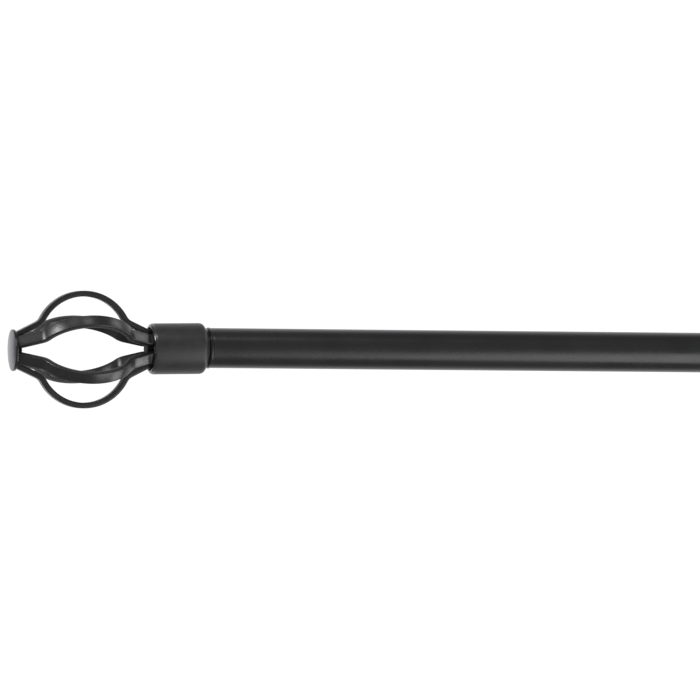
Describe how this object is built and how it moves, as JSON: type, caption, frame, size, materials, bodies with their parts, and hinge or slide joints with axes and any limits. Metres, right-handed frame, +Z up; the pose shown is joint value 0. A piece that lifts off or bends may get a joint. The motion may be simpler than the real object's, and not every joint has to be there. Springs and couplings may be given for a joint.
{
  "type": "curtain rod with brackets",
  "caption": "Adjustable black metal curtain rod with telescoping tubes, open cage finials and open-topped wall brackets whose arms slide to set the projection.",
  "frame": {"origin": "centre of the left wall plate's back face, on the wall", "axes": "+X along the rod from the wide tube's end to the narrow tube's end, +Y into the wall, +Z up"},
  "size_m": [0.9613, 0.0911, 0.062],
  "materials": {
    "black_metal": "satin black paint",
    "black_plastic": "moulded black",
    "zinc_plated_steel": "zinc plated",
    "pad_nylon": "natural nylon"
  },
  "bodies": {
    "rod": {"outer_tube": "black_metal", "mouth_bush": "black_plastic"},
    "inner_rod": {"inner_tube": "black_metal", "tail_bush": "black_plastic"},
    "left_plug_body": {"left_plug": "black_plastic"},
    "left_finial": {"left_plug_screw": "zinc_plated_steel", "left_ferrule": "black_metal", "left_cage_hub": "black_metal", "left_tip_button": "black_metal", "left_cage_bar_1": "black_metal", "left_cage_bar_2": "black_metal", "left_cage_bar_3": "black_metal", "left_cage_bar_4": "black_metal", "left_cage_bar_5": "black_metal", "left_cage_bar_6": "black_metal"},
    "right_plug_body": {"right_plug": "black_plastic"},
    "right_finial": {"right_plug_screw": "zinc_plated_steel", "right_ferrule": "black_metal", "right_cage_hub": "black_metal", "right_tip_button": "black_metal", "right_cage_bar_1": "black_metal", "right_cage_bar_2": "black_metal", "right_cage_bar_3": "black_metal", "right_cage_bar_4": "black_metal", "right_cage_bar_5": "black_metal", "right_cage_bar_6": "black_metal"},
    "left_arm_body": {"left_cradle": "black_metal", "left_arm": "black_metal"},
    "left_wall_body": {"left_wall_plate": "black_metal", "left_arm_socket": "black_metal"},
    "left_rod_pad_body": {"left_rod_pad": "pad_nylon"},
    "left_rod_screw_body": {"left_rod_screw": "black_metal"},
    "left_arm_pad_body": {"left_arm_pad": "pad_nylon"},
    "left_arm_screw_body": {"left_arm_screw": "black_metal"},
    "right_arm_body": {"right_cradle": "black_metal", "right_arm": "black_metal"},
    "right_wall_body": {"right_wall_plate": "black_metal", "right_arm_socket": "black_metal"},
    "right_rod_pad_body": {"right_rod_pad": "pad_nylon"},
    "right_rod_screw_body": {"right_rod_screw": "black_metal"},
    "right_arm_pad_body": {"right_arm_pad": "pad_nylon"},
    "right_arm_screw_body": {"right_arm_screw": "black_metal"}
  },
  "joints": [
    {"name": "telescope", "type": "slide", "parent": "rod", "child": "inner_rod", "axis": [1, 0, 0], "range_m": [-0.0888, 0.4192]},
    {"name": "left_finial_pull", "type": "slide", "parent": "rod", "child": "left_plug_body", "axis": [-1, 0, 0], "range_m": [0, 0.03]},
    {"name": "left_finial_turn", "type": "hinge", "parent": "left_plug_body", "child": "left_finial", "pos_m": [-0.24, -0.07, 0], "axis": [-1, 0, 0], "continuous": true},
    {"name": "right_finial_pull", "type": "slide", "parent": "inner_rod", "child": "right_plug_body", "axis": [1, 0, 0], "range_m": [0, 0.03]},
    {"name": "right_finial_turn", "type": "hinge", "parent": "right_plug_body", "child": "right_finial", "pos_m": [0.56, -0.07, 0], "axis": [1, 0, 0], "continuous": true},
    {"name": "left_bracket_slide", "type": "slide", "parent": "rod", "child": "left_arm_body", "axis": [1, 0, 0], "range_m": [-0.215, 0.12]},
    {"name": "left_projection", "type": "slide", "parent": "left_arm_body", "child": "left_wall_body", "axis": [0, 1, 0], "range_m": [-0.003, 0.02]},
    {"name": "left_rod_pad_travel", "type": "slide", "parent": "left_arm_body", "child": "left_rod_pad_body", "axis": [0, -1, 0], "range_m": [0, 0.0024]},
    {"name": "left_rod_screw_turn", "type": "hinge", "parent": "left_rod_pad_body", "child": "left_rod_screw_body", "pos_m": [0, -0.0825, 0], "axis": [0, -1, 0], "range_deg": [0, 1080.1]},
    {"name": "left_arm_pad_travel", "type": "slide", "parent": "left_wall_body", "child": "left_arm_pad_body", "axis": [0, 0, -1], "range_m": [0, 0.0024]},
    {"name": "left_arm_screw_turn", "type": "hinge", "parent": "left_arm_pad_body", "child": "left_arm_screw_body", "pos_m": [0, -0.033, -0.0085], "axis": [0, 0, -1], "range_deg": [0, 1080.1]},
    {"name": "right_bracket_slide", "type": "slide", "parent": "rod", "child": "right_arm_body", "axis": [1, 0, 0], "range_m": [-0.12, 0.085]},
    {"name": "right_projection", "type": "slide", "parent": "right_arm_body", "child": "right_wall_body", "axis": [0, 1, 0], "range_m": [-0.003, 0.02]},
    {"name": "right_rod_pad_travel", "type": "slide", "parent": "right_arm_body", "child": "right_rod_pad_body", "axis": [0, -1, 0], "range_m": [0, 0.0024]},
    {"name": "right_rod_screw_turn", "type": "hinge", "parent": "right_rod_pad_body", "child": "right_rod_screw_body", "pos_m": [0.32, -0.0825, 0], "axis": [0, -1, 0], "range_deg": [0, 1080.1]},
    {"name": "right_arm_pad_travel", "type": "slide", "parent": "right_wall_body", "child": "right_arm_pad_body", "axis": [0, 0, -1], "range_m": [0, 0.0024]},
    {"name": "right_arm_screw_turn", "type": "hinge", "parent": "right_arm_pad_body", "child": "right_arm_screw_body", "pos_m": [0.32, -0.033, -0.0085], "axis": [0, 0, -1], "range_deg": [0, 1080.1]}
  ],
  "couplings": [
    {"joint": "left_rod_screw_turn", "follows": "left_rod_pad_travel", "rad_per_m": 7854},
    {"joint": "left_arm_screw_turn", "follows": "left_arm_pad_travel", "rad_per_m": 7854},
    {"joint": "right_rod_screw_turn", "follows": "right_rod_pad_travel", "rad_per_m": 7854},
    {"joint": "right_arm_screw_turn", "follows": "right_arm_pad_travel", "rad_per_m": 7854}
  ]
}
